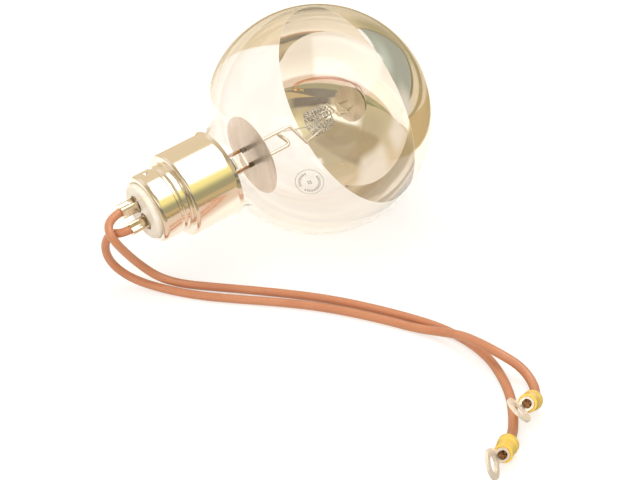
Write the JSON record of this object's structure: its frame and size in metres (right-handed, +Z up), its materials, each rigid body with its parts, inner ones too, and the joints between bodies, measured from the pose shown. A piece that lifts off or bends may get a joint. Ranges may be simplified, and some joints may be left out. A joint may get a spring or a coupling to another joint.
{
  "type": "silver crown bulb",
  "caption": "Globe lamp with a mirrored crown, a stepped metal cap with a ceramic plug, and flexible leads that end in ring terminals.",
  "frame": {"origin": "on the floor, under the middle of the lamp's box without its leads, as it lies", "axes": "+X along the lamp towards the crown, level with the floor, +Z up; the lamp's own axis is raised 10.2 degrees from +X towards +Z"},
  "size_m": [0.1492, 0.2175, 0.095],
  "materials": {
    "clear_glass": "clear blown soft glass, gloss",
    "crown_silver": "silvered inside the glass, mirror gloss",
    "nickel_cap": "polished nickel plate on drawn brass",
    "cap_cement": "baked cap cement, matt",
    "cream_ceramic": "pressed steatite, unglazed satin",
    "stem_glass": "pressed lead glass, gloss",
    "copper_wire": "copper-clad wire seen through glass",
    "dark_nickel": "oxidised nickel sleeve",
    "shield_steel": "rolled sheet, satin",
    "nickel_rod": "drawn nickel wire, bright",
    "tungsten": "coiled tungsten wire",
    "plated_sleeve": "nickel-plated crimp sleeve",
    "brown_silicone": "silicone rubber insulation, satin",
    "tinned_copper": "tinned copper, satin bright",
    "yellow_sleeve": "translucent yellow vinyl",
    "copper_strand": "bare copper strands, dulled"
  },
  "bodies": {
    "root": {"globe": "clear_glass", "crown_mirror": "crown_silver", "cap_shell": "nickel_cap", "neck_cement": "cap_cement", "insulator": "cream_ceramic", "stem": "stem_glass", "exhaust_tube": "stem_glass", "seal_wire_upper": "copper_wire", "seal_wire_lower": "copper_wire", "joint_sleeve_upper": "dark_nickel", "joint_sleeve_lower": "dark_nickel", "heat_shield": "shield_steel", "support_rod_upper": "nickel_rod", "support_rod_lower": "nickel_rod", "filament_post": "nickel_rod", "support_wire_upper": "nickel_rod", "support_wire_lower": "nickel_rod", "filament": "tungsten", "crimp_sleeve_upper": "plated_sleeve", "crimp_sleeve_lower": "plated_sleeve", "lead_upper": "brown_silicone", "lead_lower": "brown_silicone", "ring_terminal_front": "tinned_copper", "ring_terminal_rear": "tinned_copper", "terminal_sleeve_front": "yellow_sleeve", "terminal_sleeve_rear": "yellow_sleeve", "strand_end_front": "copper_strand", "strand_end_rear": "copper_strand"}
  },
  "joints": []
}
